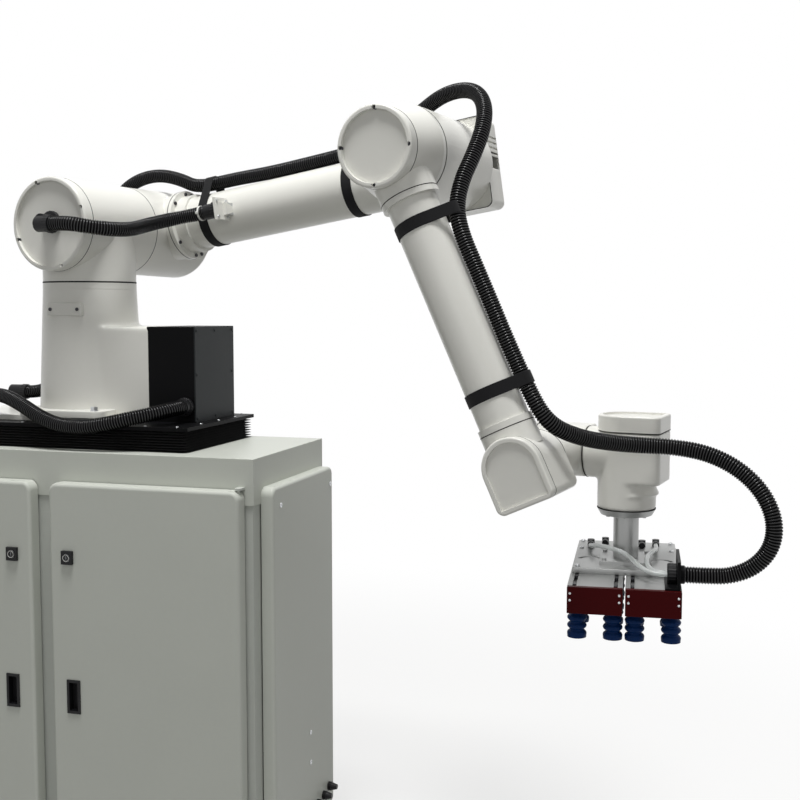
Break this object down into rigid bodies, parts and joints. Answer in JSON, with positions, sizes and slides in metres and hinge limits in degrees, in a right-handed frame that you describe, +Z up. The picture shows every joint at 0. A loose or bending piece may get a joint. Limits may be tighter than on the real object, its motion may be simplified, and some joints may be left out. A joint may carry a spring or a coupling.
{
  "type": "palletizing robot",
  "caption": "Six-axis palletizing arm on a lifting cabinet with doors, with a vacuum gripper and external hoses.",
  "frame": {"origin": "centre of the cabinet's rectangle of floor anchor holes, on the floor", "axes": "+Z up, +X along the door front to the right as seen from the doors, -Y out of the doors"},
  "size_m": [2.1701, 0.7005, 1.8293],
  "materials": {
    "cabinet_paint": "satin powder coat",
    "feet_steel": "satin powder coat",
    "black_plastic": "matte",
    "zinc_steel": "zinc plated",
    "machined_steel": "ground",
    "drive_black": "black anodised",
    "control_paint": "satin powder coat",
    "bellows_fabric": "coated cloth",
    "black_plate": "black anodised",
    "arm_paint": "satin paint on cast aluminium",
    "slate_cover": "satin paint",
    "hose_black": "corrugated conduit, satin",
    "clear_tube": "translucent",
    "tool_aluminium": "clear anodised",
    "cap_red": "anodised",
    "cup_blue": "soft silicone"
  },
  "bodies": {
    "cabinet": {"base_frame": "cabinet_paint", "door_lugs": "cabinet_paint", "anchor_feet": "feet_steel", "top_cover": "cabinet_paint", "side_panels": "cabinet_paint", "back_panel": "cabinet_paint", "lift_guide_deck": "machined_steel", "lift_motor": "drive_black", "control_unit": "control_paint", "vacuum_pump": "drive_black", "cable_glands": "black_plastic"},
    "left_door": {"left_door_panel": "cabinet_paint", "left_door_fittings": "black_plastic"},
    "right_door": {"right_door_panel": "cabinet_paint", "right_door_fittings": "black_plastic"},
    "left_upper_lock": {"left_upper_cam": "zinc_steel"},
    "left_lower_lock": {"left_lower_cam": "zinc_steel"},
    "right_upper_lock": {"right_upper_cam": "zinc_steel"},
    "right_lower_lock": {"right_lower_cam": "zinc_steel"},
    "lift": {"lift_bellows": "bellows_fabric", "lift_top_plate": "black_plate", "adapter_plate": "arm_paint", "guide_posts": "machined_steel", "lift_yoke": "machined_steel", "pedestal": "arm_paint", "pedestal_bolts": "zinc_steel", "junction_box": "black_plate", "junction_box_cover": "slate_cover", "hose_glands": "black_plastic", "junction_hose": "hose_black", "base_hose": "hose_black"},
    "screw": {"lift_screw": "machined_steel"},
    "turret": {"turret_housing": "arm_paint", "shoulder_cover": "arm_paint", "shoulder_gland": "black_plastic", "shoulder_hose": "hose_black"},
    "upper_arm": {"shoulder_housing": "arm_paint", "upper_arm_tube": "arm_paint", "elbow_drive_housing": "arm_paint", "elbow_drive_cover": "arm_paint", "hose_bracket": "arm_paint", "arm_hose": "hose_black"},
    "forearm": {"elbow_housing": "arm_paint", "elbow_cover": "arm_paint", "forearm_tube": "arm_paint", "wrist_drive_housing": "arm_paint", "wrist_drive_cover": "arm_paint", "wrist_hose": "hose_black"},
    "wrist_one": {"wrist_one_housing": "arm_paint", "wrist_one_cover": "arm_paint"},
    "wrist_two": {"wrist_two_housing": "arm_paint", "wrist_two_cover": "arm_paint"},
    "tool": {"tool_column": "tool_aluminium", "gripper_mount": "tool_aluminium", "gripper_bars": "tool_aluminium", "gripper_end_caps": "cap_red", "suction_cups": "cup_blue", "hose_support_bracket": "black_plate", "air_fittings": "black_plastic", "air_tubes": "clear_tube"}
  },
  "joints": [
    {"name": "lift_slide", "type": "slide", "parent": "cabinet", "child": "lift", "axis": [0, 0, 1], "range_m": [0, 0.3], "deforming": ["lift_bellows"]},
    {"name": "screw_turn", "type": "hinge", "parent": "cabinet", "child": "screw", "pos_m": [-0.02, 0.018, 0.5], "axis": [0, 0, 1], "range_deg": [-5400, 0]},
    {"name": "base_yaw", "type": "hinge", "parent": "lift", "child": "turret", "pos_m": [-0.02, 0.018, 1.3995], "axis": [0, 0, 1], "range_deg": [-90, 90], "deforming": ["base_hose"]},
    {"name": "shoulder", "type": "hinge", "parent": "turret", "child": "upper_arm", "pos_m": [-0.02, 0.018, 1.5335], "axis": [-0.1478, -0.989, 0], "range_deg": [-10, 65], "deforming": ["shoulder_hose"]},
    {"name": "elbow", "type": "hinge", "parent": "upper_arm", "child": "forearm", "pos_m": [0.82632, -0.10848, 1.65986], "axis": [-0.1478, -0.989, 0], "range_deg": [-10, 80], "deforming": ["arm_hose"]},
    {"name": "wrist_swing", "type": "hinge", "parent": "forearm", "child": "wrist_one", "pos_m": [1.11713, -0.15194, 1.02351], "axis": [-0.1478, -0.989, 0], "range_deg": [-60, 80], "deforming": ["wrist_hose"]},
    {"name": "wrist_tilt", "type": "hinge", "parent": "wrist_one", "child": "wrist_two", "pos_m": [1.14684, 0.04685, 1.02351], "axis": [-0.989, 0.1478, 0], "range_deg": [-90, 30]},
    {"name": "tool_turn", "type": "hinge", "parent": "wrist_two", "child": "tool", "pos_m": [1.28876, 0.02564, 1.02351], "axis": [0, 0, 1], "range_deg": [-120, 120]},
    {"name": "left_door_hinge", "type": "hinge", "parent": "cabinet", "child": "left_door", "pos_m": [-0.4865, -0.2245, 0.5], "axis": [0, 0, -1], "range_deg": [0, 110]},
    {"name": "right_door_hinge", "type": "hinge", "parent": "cabinet", "child": "right_door", "pos_m": [0.4865, -0.2245, 0.5], "axis": [0, 0, 1], "range_deg": [0, 110]},
    {"name": "left_upper_lock_turn", "type": "hinge", "parent": "left_door", "child": "left_upper_lock", "pos_m": [-0.0725, -0.21, 0.774], "axis": [0, 1, 0], "range_deg": [0, 90]},
    {"name": "left_lower_lock_turn", "type": "hinge", "parent": "left_door", "child": "left_lower_lock", "pos_m": [-0.0725, -0.21, 0.13], "axis": [0, 1, 0], "range_deg": [0, 90]},
    {"name": "right_upper_lock_turn", "type": "hinge", "parent": "right_door", "child": "right_upper_lock", "pos_m": [0.0725, -0.21, 0.774], "axis": [0, 1, 0], "range_deg": [-90, 0]},
    {"name": "right_lower_lock_turn", "type": "hinge", "parent": "right_door", "child": "right_lower_lock", "pos_m": [0.0725, -0.21, 0.13], "axis": [0, 1, 0], "range_deg": [-90, 0]}
  ],
  "couplings": [
    {"joint": "screw_turn", "follows": "lift_slide", "rad_per_m": -314.16}
  ]
}
